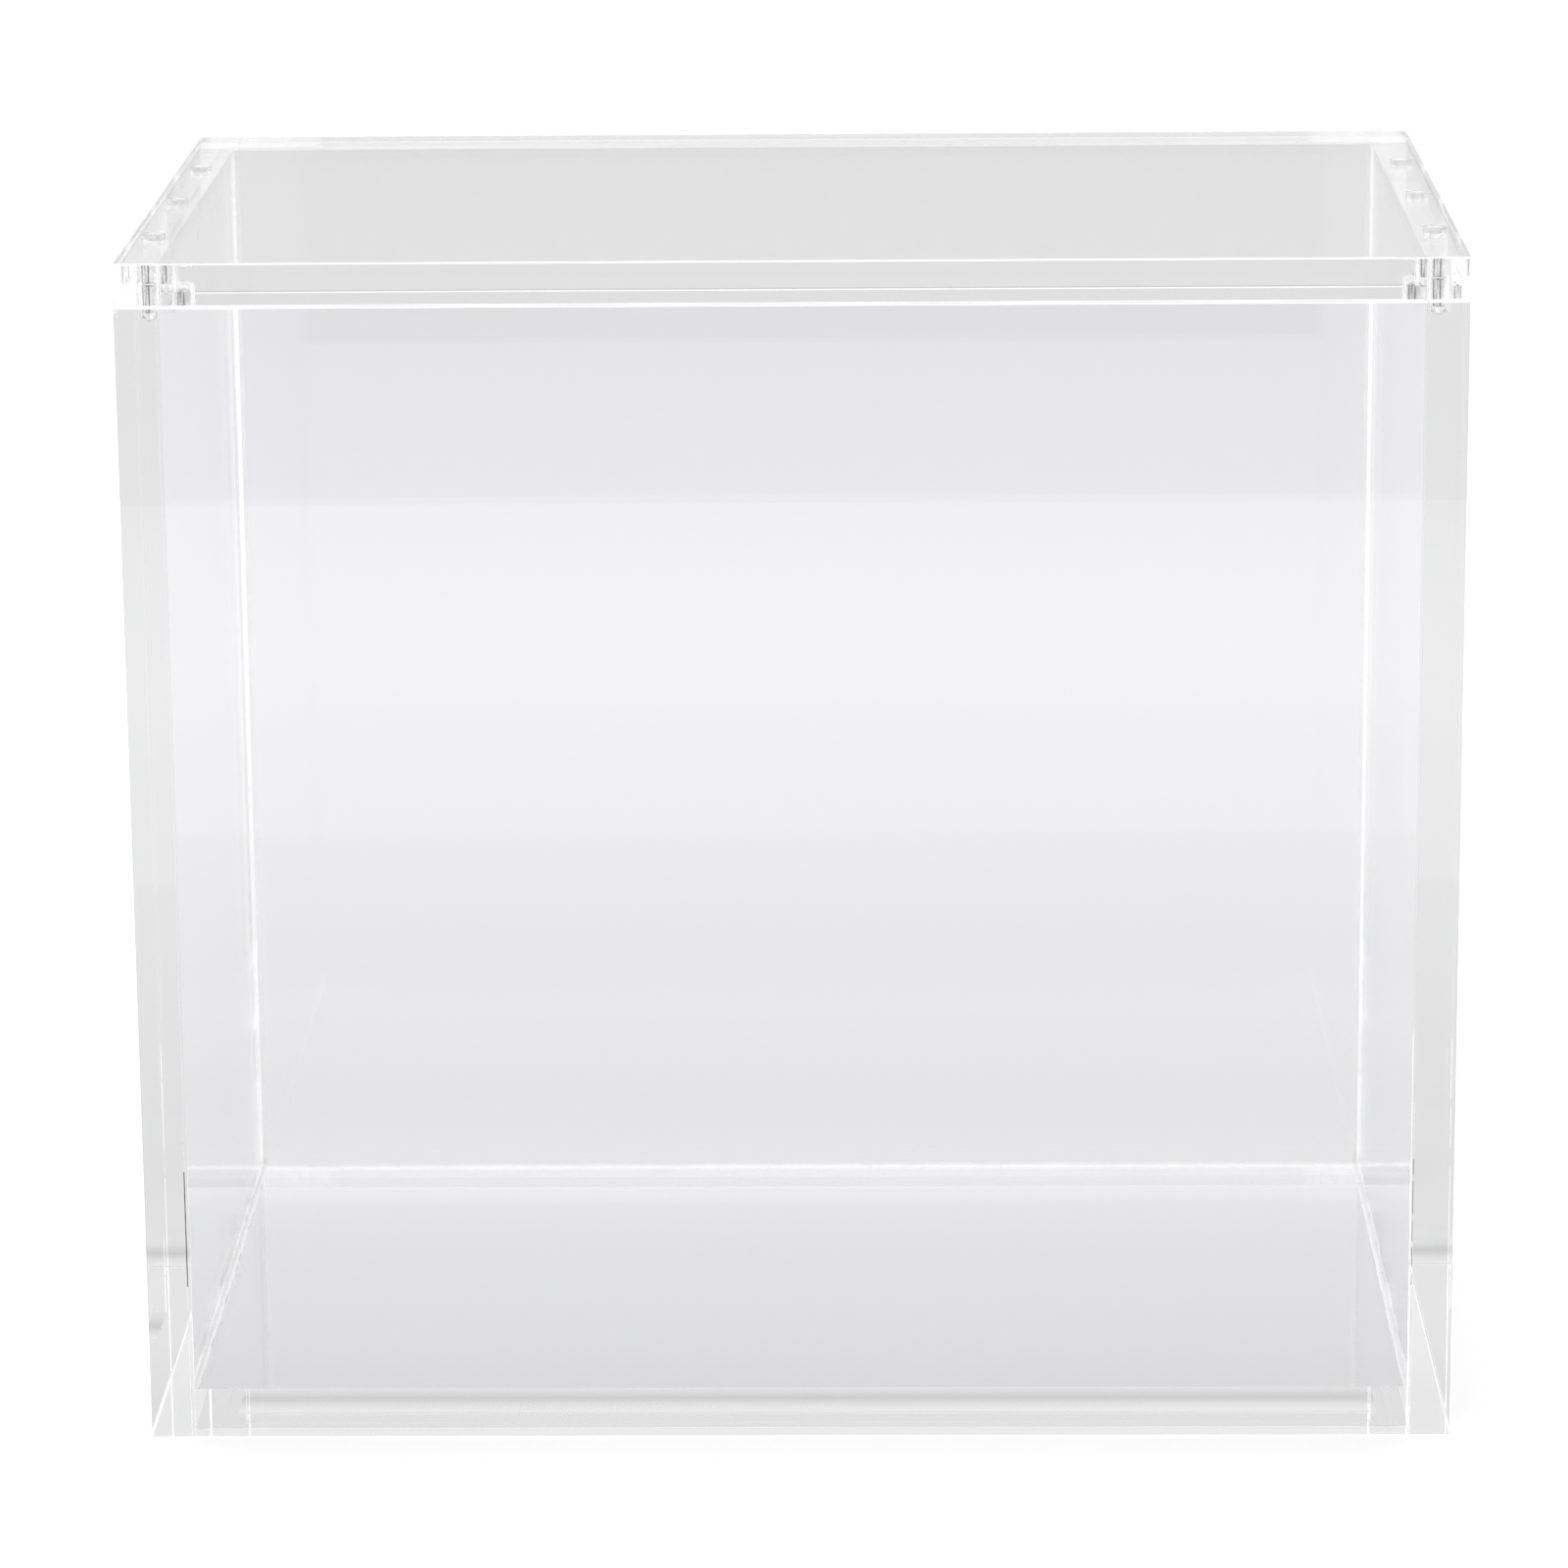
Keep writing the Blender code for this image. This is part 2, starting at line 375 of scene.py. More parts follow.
def acrylic(name, ior, colour, wave, haze, glow=None, mirrors=0, in_mirrors=False):
    """Clear cast sheet: colour is the tint of one sheet's thickness, wave the depth of its slow unevenness
    and haze the roughness of the faint wipe marks on it. The glow is the strength of a painted glow, or a
    function for it."""
    material = new_material(name)
    tree = material.node_tree
    shader = node(tree, "ShaderNodeBsdfPrincipled")
    shader.inputs["Base Color"].default_value = (*colour, 1.0)
    shader.inputs["Metallic"].default_value = 0.0
    shader.inputs["IOR"].default_value = ior
    shader.inputs["Transmission Weight"].default_value = 1.0
    wipes = ramp(tree, noise(tree, *WIPES), ((0.45, 0.0), (0.75, haze)))
    tree.links.new(wipes, shader.inputs["Roughness"])
    bump = node(tree, "ShaderNodeBump")
    bump.inputs["Strength"].default_value = 1.0
    bump.inputs["Distance"].default_value = wave
    tree.links.new(noise(tree, *WAVES), bump.inputs["Height"])
    tree.links.new(bump.outputs["Normal"], shader.inputs["Normal"])
    strength = glow(tree) if callable(glow) else glow
    let_light_through(tree, shader, SHEET_CLEARNESS, strength, mirrors, in_mirrors)
    return material


def cement(name):
    """Solvent cement between two sheets: the same clear plastic, so light goes straight on."""
    material = new_material(name)
    tree = material.node_tree
    shader = node(tree, "ShaderNodeBsdfPrincipled")
    shader.inputs["Alpha"].default_value = 0.0
    output = node(tree, "ShaderNodeOutputMaterial")
    tree.links.new(shader.outputs["BSDF"], output.inputs["Surface"])
    return material


def frosted(name, clear_share, roughness, marks, darkest, glow, mirrors=0, in_mirrors=False):
    """A cut or drilled face of the same plastic: it scatters light, with the marks of the tool on it. The
    roughness is a range, and darkest is a painted shade in the deepest marks. The glow is the strength of a
    painted glow on the face."""
    material = new_material(name)
    tree = material.node_tree
    shader = node(tree, "ShaderNodeBsdfPrincipled")
    shader.inputs["IOR"].default_value = CASE_IOR
    shader.inputs["Transmission Weight"].default_value = clear_share
    grain = noise(tree, *marks)
    # Painted shade: the colour darkens where the marks are deepest
    tree.links.new(ramp(tree, grain, ((0.3, darkest), (0.5, 1.0))), shader.inputs["Base Color"])
    low, high = roughness
    tree.links.new(ramp(tree, grain, ((0.3, low), (0.7, high))), shader.inputs["Roughness"])
    bump = node(tree, "ShaderNodeBump")
    bump.inputs["Distance"].default_value = MARK_DEPTH
    tree.links.new(grain, bump.inputs["Height"])
    tree.links.new(bump.outputs["Normal"], shader.inputs["Normal"])
    let_light_through(tree, shader, CUT_CLEARNESS, glow, mirrors, in_mirrors)
    return material


def bead_finish(name):
    """Squeezed-out solvent cement: milky, with small clouds in it, and with a painted glow, stronger higher
    up and along the back of the floor, that stands in for the light that the sheets pipe into their
    corners."""
    material = new_material(name)
    tree = material.node_tree
    shader = node(tree, "ShaderNodeBsdfPrincipled")
    shader.inputs["IOR"].default_value = CASE_IOR
    clouds = noise(tree, *CLOUDS)
    tone = ramp(tree, clouds, ((0.3, 0.88), (0.7, 0.98)))
    tree.links.new(tone, shader.inputs["Base Color"])
    tree.links.new(ramp(tree, clouds, ((0.3, 0.2), (0.7, 0.5))), shader.inputs["Roughness"])
    place = node(tree, "ShaderNodeTexCoord").outputs["Object"]
    height = distance_past(tree, place, "Z", 1 / CORNER_HEIGHT, 0.0)
    past_back = distance_past(tree, place, "Y", 1.0, INNER_Y - BEAD_REACH)
    past_floor = distance_past(tree, place, "Z", 1.0, BASE_TOP + BEAD_REACH)
    back = math_node(tree, "GREATER_THAN", past_back, 0.0)
    low = math_node(tree, "LESS_THAN", past_floor, 0.0)
    more = math_node(tree, "MULTIPLY", math_node(tree, "MULTIPLY", back, low), BACK_BEAD_GLOW)
    glow = math_node(tree, "ADD", ramp(tree, height, BEAD_GLOW_STOPS), more)
    let_light_through(tree, shader, BEAD_CLEARNESS, glow, 8, True)
    return material


def seam_shadow(name):
    """Painted shade for a fine open crack: nearly black, with a little dust in it."""
    material = new_material(name)
    tree = material.node_tree
    shader = node(tree, "ShaderNodeBsdfPrincipled")
    shader.inputs["Roughness"].default_value = 0.9
    dust = ramp(tree, noise(tree, *DUST), ((0.35, 0.02), (0.75, 0.25)))
    tree.links.new(dust, shader.inputs["Base Color"])
    output = node(tree, "ShaderNodeOutputMaterial")
    tree.links.new(shader.outputs["BSDF"], output.inputs["Surface"])
    return material


def nickel(name):
    """Bright nickel plating with an uneven sheen, and painted dark streaks along the magnet that stand in
    for the dark reflections on its round side.
    """
    material = new_material(name)
    tree = material.node_tree
    shader = node(tree, "ShaderNodeBsdfPrincipled")
    shader.inputs["Metallic"].default_value = 1.0
    # Painted reflection: near-black streaks in the plating's colour
    tone = ramp(tree, noise(tree, *PAINTED_REFLECTION_STREAKS), ((0.41, 0.06), (0.46, 0.95), (0.7, 1.0)))
    tree.links.new(tone, shader.inputs["Base Color"])
    sheen = ramp(tree, noise(tree, *SHEEN), ((0.3, 0.2), (0.7, 0.4)))
    tree.links.new(sheen, shader.inputs["Roughness"])
    output = node(tree, "ShaderNodeOutputMaterial")
    tree.links.new(shader.outputs["BSDF"], output.inputs["Surface"])
    return material


FACE_SLOT, CEMENT_SLOT, DRILLED_SLOT, ARRIS_SLOT, EDGE_SLOT, GLOW_SLOT, FOOT_SLOT = range(7)


def rectangle_on(face_axis, face_place, low, high):
    """A cemented rectangle: the face's axis and place, and the corners of the rectangle on it."""
    return {"axis": face_axis, "place": face_place, "low": Vector(low), "high": Vector(high)}


def across(bond):
    """The two axes along a cemented rectangle."""
    return [axis for axis in range(3) if axis != bond["axis"]]


def on_plane(part, bond):
    """Whether a face or an edge lies in the plane of a cemented rectangle."""
    return all(abs(vert.co[bond["axis"]] - bond["place"]) < TOUCH for vert in part.verts)


def is_cemented(face, bond):
    """Whether a face lies within a cemented rectangle."""
    centre = face.calc_center_median()
    inside = all(bond["low"][axis] < centre[axis] < bond["high"][axis] for axis in across(bond))
    return inside and on_plane(face, bond)


def is_seam(edge, bond):
    """Whether an edge runs along or ends at a cemented rectangle."""
    if not on_plane(edge, bond):
        return False
    ends = [vert.co for vert in edge.verts]
    reach = SEAM_ARRIS * 2
    return all(
        min(end[axis] for end in ends) < bond["high"][axis] + reach
        and max(end[axis] for end in ends) > bond["low"][axis] - reach
        for axis in across(bond)
    )


def is_at_seam(face, bond):
    """Whether a rounded face runs along a cemented rectangle."""
    centre = face.calc_center_median()
    reach = SEAM_ARRIS * 2
    return abs(centre[bond["axis"]] - bond["place"]) < reach and all(
        bond["low"][axis] - reach < centre[axis] < bond["high"][axis] + reach for axis in across(bond)
    )


def cut_round(bm, bond):
    """Cuts the faces in a cemented rectangle's plane along those of its sides that cross them."""
    for axis in across(bond):
        for corner in (bond["low"], bond["high"]):
            faces = [face for face in bm.faces if on_plane(face, bond)]
            places = [vert.co[axis] for face in faces for vert in face.verts]
            if not min(places) + TOUCH < corner[axis] < max(places) - TOUCH:
                continue
            edges = list({edge for face in faces for edge in face.edges})
            verts = list({vert for face in faces for vert in face.verts})
            normal = Vector((0, 0, 0))
            normal[axis] = 1
            bmesh.ops.bisect_plane(bm, geom=verts + edges + faces, plane_co=corner, plane_no=normal)


def applied(made):
    """The object's mesh with its modifiers worked in."""
    bpy.context.view_layer.update()
    graph = bpy.context.evaluated_depsgraph_get()
    mesh = bpy.data.meshes.new_from_object(made.evaluated_get(graph), depsgraph=graph)
    made.modifiers.clear()
    made.data = mesh


def make_sheet(name, low, high, bonds, glowing, finishes, body, replaced):
    """A closed slab between two corners, its arrises rounded, its cemented faces marked. The finishes are
    those of its faces, of its edges, and of the edges that face one of the glowing directions, which carry
    a painted glow that stands in for the light that the sheet pipes to them."""
    low, high = Vector(low), Vector(high)
    bm = bmesh.new()
    bmesh.ops.create_cube(bm, size=1.0)
    bmesh.ops.scale(bm, vec=high - low, verts=bm.verts)
    bmesh.ops.translate(bm, vec=(low + high) / 2, verts=bm.verts)
    weight = bm.edges.layers.float.new("bevel_weight_edge")
    for edge in bm.edges:
        seam = any(is_seam(edge, bond) for bond in bonds)
        edge[weight] = SEAM_ARRIS / ARRIS if seam else 1.0
    mesh = bpy.data.meshes.new(name)
    bm.to_mesh(mesh)
    bm.free()
    faces_finish, edges_finish, bright_finish = finishes
    for material in (faces_finish, CEMENT, DRILLED, ARRIS_FINISH, edges_finish, bright_finish, FOOT_EDGE):
        mesh.materials.append(material)
    sheet = bpy.data.objects.new(name, mesh)
    bpy.context.scene.collection.objects.link(sheet)
    rounding = sheet.modifiers.new("arrises", "BEVEL")
    rounding.limit_method = "WEIGHT"
    rounding.width = ARRIS
    rounding.segments = ARRIS_STEPS
    rounding.material = ARRIS_SLOT
    applied(sheet)
    bm = bmesh.new()
    bm.from_mesh(sheet.data)
    for bond in bonds:
        cut_round(bm, bond)
    size = high - low
    thin = min(range(3), key=lambda axis: size[axis])
    for face in bm.faces:
        if any(is_cemented(face, bond) for bond in bonds):
            face.material_index = CEMENT_SLOT
        elif face.material_index == ARRIS_SLOT and any(is_at_seam(face, bond) for bond in bonds):
            face.material_index = FACE_SLOT
        elif face.material_index != ARRIS_SLOT and abs(face.normal[thin]) < FACING_SHARE:
            bright = any(face.normal.dot(Vector(direction)) > FACING_SHARE for direction in glowing)
            foot = face.normal.z < -FACING_SHARE
            face.material_index = GLOW_SLOT if bright else FOOT_SLOT if foot else EDGE_SLOT
    bm.to_mesh(sheet.data)
    bm.free()
    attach(sheet, body)
    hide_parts(replaced)
    return sheet


def turned(name, profile, sides, finish):
    """A shape turned about Z from (radius, height) points that run from its top to its tip."""
    bm = bmesh.new()
    points = [bm.verts.new((radius, 0, height)) for radius, height in profile]
    edges = [bm.edges.new(pair) for pair in zip(points, points[1:])]
    bmesh.ops.spin(
        bm, geom=points + edges, axis=(0, 0, 1), cent=(0, 0, 0), steps=sides, angle=2 * math.pi
    )
    bmesh.ops.remove_doubles(bm, verts=bm.verts, dist=MERGE_DISTANCE)
    bmesh.ops.recalc_face_normals(bm, faces=bm.faces)
    mesh = bpy.data.meshes.new(name)
    bm.to_mesh(mesh)
    bm.free()
    mesh.materials.append(finish)
    mesh.shade_smooth()
    mesh.set_sharp_from_angle(angle=SHARP_ANGLE)
    made = bpy.data.objects.new(name, mesh)
    bpy.context.scene.collection.objects.link(made)
    return made


def unevenness(along, phase):
    """A slow wander of about 1, for a bead laid by hand."""
    wave_depth, wave_rate = BEAD_WAVE
    ripple_depth, ripple_rate = BEAD_RIPPLE
    wave = wave_depth * math.sin(along * wave_rate + phase)
    ripple = ripple_depth * math.sin(along * ripple_rate + phase * RIPPLE_PHASE)
    return 1.0 + wave + ripple


def add_bead(bm, start, end, first, second):
    """A hollow-faced bead of cement along an inner corner, from start to end; first and second point away
    from the corner along its two sheets."""
    start, end, first, second = Vector(start), Vector(end), Vector(first), Vector(second)
    phase = start.x * BEAD_PHASE[0] + start.y * BEAD_PHASE[1]
    turns = [math.pi + math.pi / 2 * step / BEAD_TURNS for step in range(BEAD_TURNS + 1)]
    section = [(0.0, 0.0)] + [(1 + math.cos(turn), 1 + math.sin(turn)) for turn in turns]
    count = max(2, round((end - start).length / BEAD_STEP))
    rings = []
    for step in range(count + 1):
        place = start.lerp(end, step / count)
        size = BEAD * unevenness((place - start).length, phase)
        ring = [place + first * (a * size) + second * (b * size) for a, b in section]
        rings.append([bm.verts.new(point) for point in ring])
    for near, far in zip(rings, rings[1:]):
        for index in range(len(section)):
            other = (index + 1) % len(section)
            bm.faces.new((near[index], near[other], far[other], far[index]))
    bm.faces.new(rings[0][::-1])
    bm.faces.new(rings[-1])


def make_beads():
    """The cement that was pressed out along the inner corners: round the sides and back of the floor and
    up the back corners."""
    bm = bmesh.new()
    x = INNER_X - BEAD_CLEARANCE
    y = INNER_Y - BEAD_CLEARANCE
    z = BASE_TOP + BEAD_CLEARANCE
    top = WALL_TOP - ARRIS
    for side in (-1, 1):
        add_bead(bm, (side * x, -y, z), (side * x, y, z), (-side, 0, 0), (0, 0, 1))
        add_bead(bm, (side * x, y, z), (side * x, y, top), (-side, 0, 0), (0, -1, 0))
    add_bead(bm, (-x, y, z), (x, y, z), (0, -1, 0), (0, 0, 1))
    bmesh.ops.recalc_face_normals(bm, faces=bm.faces)
    mesh = bpy.data.meshes.new("solvent_beads")
    bm.to_mesh(mesh)
    bm.free()
    mesh.materials.append(BEAD_FINISH)
    beads = bpy.data.objects.new("solvent_beads", mesh)
    bpy.context.scene.collection.objects.link(beads)
    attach(beads, "case")


def make_painted_seam_shade():
    """The short lengths of the two front seams that the cement hasn't filled, drawn as fine dark strips of
    painted shade.
    """
    bm = bmesh.new()
    for side, (width, lengths) in OPEN_SEAMS.items():
        x = side * INNER_X
        half = width / 2
        y = -HALF_DEPTH + width * OPEN_SEAM_INSET
        for low, high in lengths:
            corners = ((x - half, y), (x + half, y), (x, y + half))
            foot = [bm.verts.new((*corner, low)) for corner in corners]
            head = [bm.verts.new((*corner, high)) for corner in corners]
            bm.faces.new(foot)
            bm.faces.new(head)
            for index in range(3):
                other = (index + 1) % 3
                bm.faces.new((foot[index], foot[other], head[other], head[index]))
    bmesh.ops.recalc_face_normals(bm, faces=bm.faces)
    mesh = bpy.data.meshes.new("painted_seam_shade")
    bm.to_mesh(mesh)
    bm.free()
    mesh.materials.append(SEAM_SHADOW)
    seams = bpy.data.objects.new("painted_seam_shade", mesh)
    bpy.context.scene.collection.objects.link(seams)
    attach(seams, "case")


def drill_sockets(sheet, mouths, downwards):
    """Cuts the magnets' blind holes into a sheet and keeps the drilled finish on their walls."""
    tip = SOCKET_RADIUS * DRILL_POINT_SHARE
    profile = [
        (0, DRILL_OVERRUN),
        (SOCKET_RADIUS, DRILL_OVERRUN),
        (SOCKET_RADIUS, tip - SOCKET_DEPTH),
        (0, -SOCKET_DEPTH),
    ]
    cutters = []
    for index, mouth in enumerate(mouths):
        cutter = turned(sheet.name + "_drill_" + str(index), profile, SOCKET_SIDES, DRILLED)
        if not downwards:
            cutter.data.transform(Matrix.Rotation(math.pi, 4, "Y"))
        cutter.location = mouth
        cut = sheet.modifiers.new(cutter.name, "BOOLEAN")
        cut.operation = "DIFFERENCE"
        cut.solver = "EXACT"
        cut.material_mode = "TRANSFER"
        cut.object = cutter
        cutters.append(cutter)
    applied(sheet)
    for cutter in cutters:
        bpy.data.objects.remove(cutter)


def make_magnet(name, cad_name, body):
    """A round plated magnet with rolled rims, in the place of its solid."""
    low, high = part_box(cad_name)
    radius = (high.x - low.x) / 2
    half = (high.z - low.z) / 2
    angles = [math.pi / 2 * step / MAGNET_ARRIS_STEPS for step in range(MAGNET_ARRIS_STEPS + 1)]
    corner = [
        (radius - MAGNET_ARRIS * (1 - math.sin(angle)), half - MAGNET_ARRIS * (1 - math.cos(angle)))
        for angle in angles
    ]
    upper = [(0, half)] + corner
    lower = [(reach, -height) for reach, height in reversed(upper)]
    magnet = turned(name, upper + lower, MAGNET_SIDES, NICKEL)
    magnet.location = (low + high) / 2
    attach(magnet, body)
    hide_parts(cad_name)


def make_camera():
    """The photo's camera."""
    data = bpy.data.cameras.new("camera")
    data.sensor_width = SENSOR_WIDTH
    data.lens = SENSOR_WIDTH * FOCAL_PIXELS / PHOTO_PIXELS
    data.clip_start = CAMERA_NEAR
    data.clip_end = CAMERA_FAR
    camera = bpy.data.objects.new("camera", data)
    level = math.cos(CAMERA_DIP)
    forward = Vector(
        (math.sin(CAMERA_TURN) * level, math.cos(CAMERA_TURN) * level, -math.sin(CAMERA_DIP))
    )
    camera.rotation_mode = "QUATERNION"
    camera.rotation_quaternion = forward.to_track_quat("-Z", "Y") @ Quaternion((0, 0, 1), CAMERA_ROLL)
    camera.location = CAMERA_PLACE
    bpy.context.scene.collection.objects.link(camera)
    bpy.context.scene.camera = camera


def table_tones(tree):
    """The table as the acrylic shows it, straight and in mirrors: softly shaded round and under the case,
    ending in front of it, and fading out far away."""
    position = node(tree, "ShaderNodeNewGeometry").outputs["Position"]
    front = distance_past(tree, position, "Y", -1.0, HALF_DEPTH)
    back = distance_past(tree, position, "Y", 1.0, HALF_DEPTH)
    aside = math_node(tree, "ABSOLUTE", distance_past(tree, position, "X", 1.0, 0.0))
    beside = math_node(tree, "SUBTRACT", aside, HALF_WIDTH)
    away = math_node(tree, "MAXIMUM", math_node(tree, "MAXIMUM", back, beside), front)
    is_beside = math_node(tree, "GREATER_THAN", beside, 0.0)
    clear = math_node(tree, "MULTIPLY", is_beside, math_node(tree, "MAXIMUM", beside, CLEAR_OF_SHADE))
    behind = math_node(tree, "MAXIMUM", back, clear)
    behind = math_node(tree, "MAXIMUM", behind, front)
    shade = ramp(tree, math_node(tree, "DIVIDE", behind, SHADE_REACH), SHADE_STOPS)
    depth = distance_past(tree, position, "Y", 1.0, -HALF_DEPTH)
    under = ramp(tree, math_node(tree, "DIVIDE", depth, HALF_DEPTH * 2), UNDER_STOPS)
    chosen = blend(tree, math_node(tree, "GREATER_THAN", away, 0.0), under, shade)
    far = node(tree, "ShaderNodeMapRange")
    far.inputs["From Min"].default_value = FAR_START
    far.inputs["From Max"].default_value = FAR_END
    reach = node(tree, "ShaderNodeVectorMath", operation="LENGTH")
    tree.links.new(position, reach.inputs[0])
    tree.links.new(reach.outputs["Value"], far.inputs["Value"])
    through = blend(tree, far.outputs["Result"], chosen, 1.0)
    mirror = ramp(tree, math_node(tree, "DIVIDE", front, TABLE_FRONT * 2), TABLE_STOPS)
    ahead = math_node(tree, "LESS_THAN", math_node(tree, "MULTIPLY", aside, GAP_SLOPE), front)
    past = math_node(tree, "MULTIPLY", math_node(tree, "GREATER_THAN", front, TABLE_FRONT), ahead)
    path = node(tree, "ShaderNodeLightPath")
    once = math_node(tree, "LESS_THAN", path.outputs["Glossy Depth"], 1.5)
    dark = math_node(tree, "MULTIPLY", past, once)
    ended = math_node(tree, "SUBTRACT", 1.0, math_node(tree, "MULTIPLY", dark, 1.0 - GAP_LEVEL))
    mirrored = math_node(tree, "MULTIPLY", math_node(tree, "MULTIPLY", through, mirror), ended)
    return through, blend(tree, far.outputs["Result"], mirrored, HORIZON / GLASS_LEVEL)


def make_floor():
    """A white table. Its paint is lit by the lamps and keeps the shadow; the acrylic shows painted tones of
    it instead, with painted shade and light round, under and in front of the case."""
    mesh = bpy.data.meshes.new("floor")
    bm = bmesh.new()
    bmesh.ops.create_grid(bm, x_segments=1, y_segments=1, size=TABLE_HALF)
    bmesh.ops.translate(bm, vec=(0, 0, -FLOOR_GAP), verts=bm.verts)
    bm.to_mesh(mesh)
    bm.free()
    floor = bpy.data.objects.new("floor", mesh)
    bpy.context.scene.collection.objects.link(floor)
    material = new_material("white_table")
    tree = material.node_tree
    path = node(tree, "ShaderNodeLightPath")
    mirrored = math_node(tree, "GREATER_THAN", path.outputs["Glossy Depth"], 0.5)
    through, mirror = table_tones(tree)
    tone = math_node(tree, "MULTIPLY", blend(tree, mirrored, through, mirror), GLASS_LEVEL)
    paint = node(tree, "ShaderNodeBsdfDiffuse")
    paint.inputs["Color"].default_value = (TABLE_PAINT, TABLE_PAINT, TABLE_PAINT, 1.0)
    glow = node(tree, "ShaderNodeEmission")
    glow_level = math_node(tree, "MULTIPLY", path.outputs["Is Camera Ray"], TABLE_GLOW)
    tree.links.new(glow_level, glow.inputs["Strength"])
    lit = node(tree, "ShaderNodeAddShader")
    tree.links.new(paint.outputs["BSDF"], lit.inputs[0])
    tree.links.new(glow.outputs["Emission"], lit.inputs[1])
    backdrop = node(tree, "ShaderNodeEmission")
    tree.links.new(tone, backdrop.inputs["Strength"])
    glassy = math_node(tree, "MAXIMUM", path.outputs["Is Glossy Ray"], path.outputs["Is Transmission Ray"])
    mix = node(tree, "ShaderNodeMixShader")
    tree.links.new(glassy, mix.inputs["Fac"])
    tree.links.new(lit.outputs["Shader"], mix.inputs[1])
    tree.links.new(backdrop.outputs["Emission"], mix.inputs[2])
    output = node(tree, "ShaderNodeOutputMaterial")
    tree.links.new(mix.outputs["Shader"], output.inputs["Surface"])
    mesh.materials.append(material)


def make_world():
    """White to the camera and nearly white through the acrylic. Mirror images show a softly lit room."""
    world = bpy.data.worlds.new("studio")
    bpy.context.scene.world = world
    world.use_nodes = True
    tree = world.node_tree
    tree.nodes.clear()
    path = node(tree, "ShaderNodeLightPath")
    place = node(tree, "ShaderNodeTexCoord")
    split = node(tree, "ShaderNodeSeparateXYZ")
    tree.links.new(place.outputs["Generated"], split.inputs["Vector"])
    room = ramp(tree, split.outputs["Z"], ROOM_STOPS)
    ahead = ramp(tree, math_node(tree, "MULTIPLY", split.outputs["Y"], -1.0), OPENING_STOPS)
    room = math_node(tree, "MULTIPLY", room, ahead)
    sideways = ramp(tree, math_node(tree, "ABSOLUTE", split.outputs["X"]), SIDE_STOPS)
    room = math_node(tree, "MULTIPLY", room, sideways)
    room = blend(tree, ramp(tree, split.outputs["Z"], HORIZON_STOPS), room, HORIZON)
    glassy = math_node(tree, "MAXIMUM", path.outputs["Is Glossy Ray"], path.outputs["Is Transmission Ray"])
    mirrored = math_node(tree, "GREATER_THAN", path.outputs["Glossy Depth"], 0.5)
    behind = blend(tree, mirrored, GLASS_LEVEL, room)
    light = blend(tree, path.outputs["Is Camera Ray"], WORLD_LIGHT, 1.0)
    background = node(tree, "ShaderNodeBackground")
    tree.links.new(blend(tree, glassy, light, behind), background.inputs["Color"])
    output = node(tree, "ShaderNodeOutputWorld")
    tree.links.new(background.outputs["Background"], output.inputs["Surface"])


def make_sun():
    """The soft light of the room's lamps. It lights the table and the plating, and the acrylic mirrors the
    room instead."""
    data = bpy.data.lights.new("room_lamps", "SUN")
    data.energy = SUN_STRENGTH
    data.angle = SUN_SPREAD
    lamp = bpy.data.objects.new("room_lamps", data)
    lamp.rotation_mode = "QUATERNION"
    lamp.rotation_quaternion = Vector(SUN_AIM).to_track_quat("-Z", "Y")
    lamp.visible_glossy = False
    lamp.visible_transmission = False
    bpy.context.scene.collection.objects.link(lamp)


# The side walls carry the painted glow at the back corners
SIDE_ACRYLIC = acrylic("side_acrylic", CASE_IOR, FACE_TINT, FACE_WAVE, FACE_HAZE, painted_corner_glow, 2)
PANEL_ACRYLIC = acrylic("panel_acrylic", CASE_IOR, FACE_TINT, FACE_WAVE, FACE_HAZE)
BASE_ACRYLIC = acrylic("base_acrylic", CASE_IOR, FACE_TINT, FACE_WAVE, BASE_HAZE)
LID_ACRYLIC = acrylic("lid_acrylic", LID_IOR, FACE_TINT, FACE_WAVE, FACE_HAZE)
WALL_EDGE = acrylic("wall_edge", CASE_IOR, EDGE_TINT, EDGE_WAVE, EDGE_HAZE)
LID_EDGE = acrylic("lid_edge", LID_IOR, EDGE_TINT, EDGE_WAVE, EDGE_HAZE)
# The edges that face a glowing direction carry a painted glow
BRIGHT_WALL_EDGE = acrylic(
    "painted_glow_wall_edge", CASE_IOR, EDGE_TINT, EDGE_WAVE, EDGE_HAZE, wall_edge_glow
)
BRIGHT_LID_EDGE = acrylic(
    "painted_glow_lid_edge", LID_IOR, EDGE_TINT, EDGE_WAVE, EDGE_HAZE, lid_edge_glow, 1, True
)
# The bottom edges carry a weaker painted glow
FOOT_EDGE = acrylic("foot_edge", CASE_IOR, EDGE_TINT, EDGE_WAVE, FOOT_HAZE, FOOT_GLOW, 6)
SIDE = (SIDE_ACRYLIC, WALL_EDGE, BRIGHT_WALL_EDGE)
PANEL = (PANEL_ACRYLIC, WALL_EDGE, BRIGHT_WALL_EDGE)
BASE = (BASE_ACRYLIC, WALL_EDGE, BRIGHT_WALL_EDGE)
LID = (LID_ACRYLIC, LID_EDGE, BRIGHT_LID_EDGE)
CEMENT = cement("cement")
# The drilled sockets and the rounded arrises carry a painted glow
DRILLED = frosted("drilled_acrylic", 0.85, (0.05, 0.25), DRILL_MARKS, 0.7, SOCKET_GLOW, 2, True)
BEAD_FINISH = bead_finish("solvent_bead")
ARRIS_FINISH = frosted("polished_arris", 1.0, (0.03, 0.12), POLISH_MARKS, 0.95, ARRIS_GLOW)
NICKEL = nickel("magnet_nickel")
SEAM_SHADOW = seam_shadow("seam_shadow")

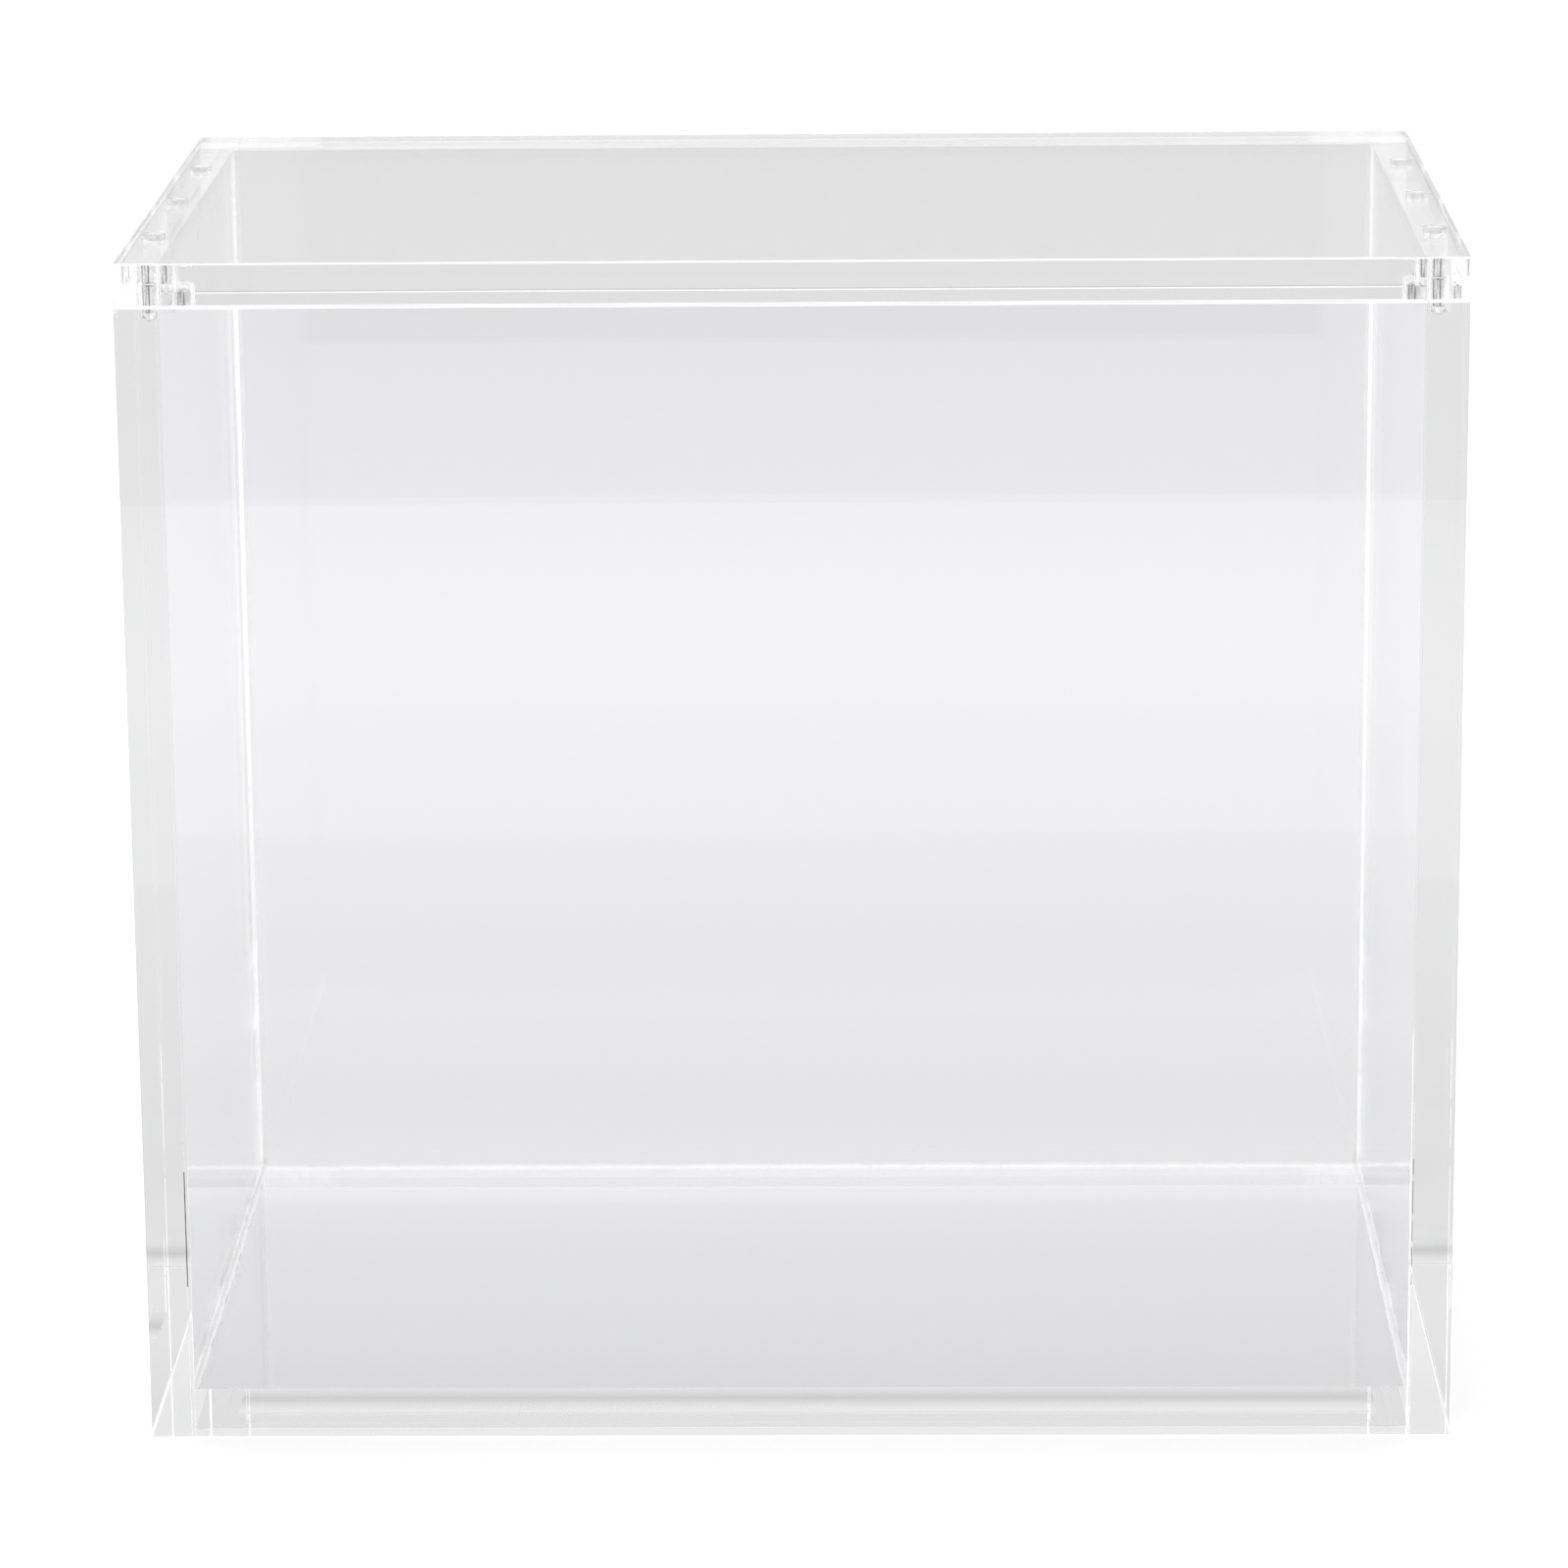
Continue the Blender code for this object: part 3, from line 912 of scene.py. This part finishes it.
CUT = SEAM_ARRIS
UP, BACK, LEFT, RIGHT = (0, 0, 1), (0, 1, 0), (-1, 0, 0), (1, 0, 0)


def make_case():
    """The five cemented sheets. The two walls are handed on, for their magnets' sockets."""
    walls = {}
    for name, sign in (("left", -1), ("right", 1)):
        inner = sign * INNER_X
        low_x, high_x = sorted((sign * HALF_WIDTH, inner))
        touching = (
            (-HALF_DEPTH + CUT, -INNER_Y - CUT, WALL_TOP),
            (INNER_Y + CUT, HALF_DEPTH - CUT, WALL_TOP),
            (-INNER_Y + CUT, INNER_Y - CUT, BASE_TOP),
        )
        bonds = [
            rectangle_on(0, inner, (inner, front, CUT), (inner, back, top - CUT))
            for front, back, top in touching
        ]
        low = (low_x, -HALF_DEPTH, 0)
        high = (high_x, HALF_DEPTH, WALL_TOP)
        walls[name] = make_sheet(
            name + "_wall_sheet", low, high, bonds, [UP, BACK], SIDE, "case", name + "_wall"
        )
    for name, sign, glowing in (("front", -1, []), ("back", 1, [UP])):
        inner = sign * INNER_Y
        low_y, high_y = sorted((sign * HALF_DEPTH, inner))
        ends = [
            rectangle_on(0, x, (x, low_y + CUT, CUT), (x, high_y - CUT, WALL_TOP - CUT))
            for x in (-INNER_X, INNER_X)
        ]
        foot = rectangle_on(1, inner, (-INNER_X + CUT, inner, CUT), (INNER_X - CUT, inner, BASE_TOP - CUT))
        low = (-INNER_X, low_y, 0)
        high = (INNER_X, high_y, WALL_TOP)
        bonds = ends + [foot]
        make_sheet(
            name + "_panel_sheet", low, high, bonds, glowing, PANEL, "case", name + "_panel"
        )
    edge_low = (-INNER_X + CUT, -INNER_Y + CUT, CUT)
    edge_high = (INNER_X - CUT, INNER_Y - CUT, BASE_TOP - CUT)
    bonds = [rectangle_on(0, x, edge_low, edge_high) for x in (-INNER_X, INNER_X)]
    bonds += [rectangle_on(1, y, edge_low, edge_high) for y in (-INNER_Y, INNER_Y)]
    low = (-INNER_X, -INNER_Y, 0)
    high = (INNER_X, INNER_Y, BASE_TOP)
    make_sheet("base_sheet", low, high, bonds, [], BASE, "case", "base_panel")
    return walls


def magnet_names(place, side):
    """The solids of the magnets along one side, front to back."""
    return [name for name in sorted(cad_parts) if name.startswith(place + "_magnet_" + side)]


def make_magnets(walls, lid):
    """The magnets of the walls and the lid, each in its drilled socket."""
    lid_mouths = []
    for side in ("left", "right"):
        wall_mouths = []
        for name in magnet_names("wall", side):
            low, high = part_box(name)
            wall_mouths.append(((low.x + high.x) / 2, (low.y + high.y) / 2, WALL_TOP))
            make_magnet(name.replace("wall_magnet", "magnet_in_wall"), name, "case")
        drill_sockets(walls[side], wall_mouths, True)
        for name in magnet_names("lid", side):
            low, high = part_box(name)
            lid_mouths.append(((low.x + high.x) / 2, (low.y + high.y) / 2, LID_LOW.z))
            make_magnet(name.replace("lid_magnet", "magnet_in_lid"), name, "lid")
    drill_sockets(lid, lid_mouths, False)


make_camera()
case_walls = make_case()
lid_sheet = make_sheet(
    "lid_sheet", LID_LOW, LID_HIGH, [], [LEFT, RIGHT, BACK], LID, "lid", "lid"
)
make_magnets(case_walls, lid_sheet)
make_beads()
make_painted_seam_shade()
make_floor()
make_world()
make_sun()

scene = bpy.context.scene
scene.view_settings.view_transform = "Standard"
scene.cycles.max_bounces = 32
scene.cycles.transmission_bounces = 32
scene.cycles.glossy_bounces = 24
scene.cycles.transparent_max_bounces = 64
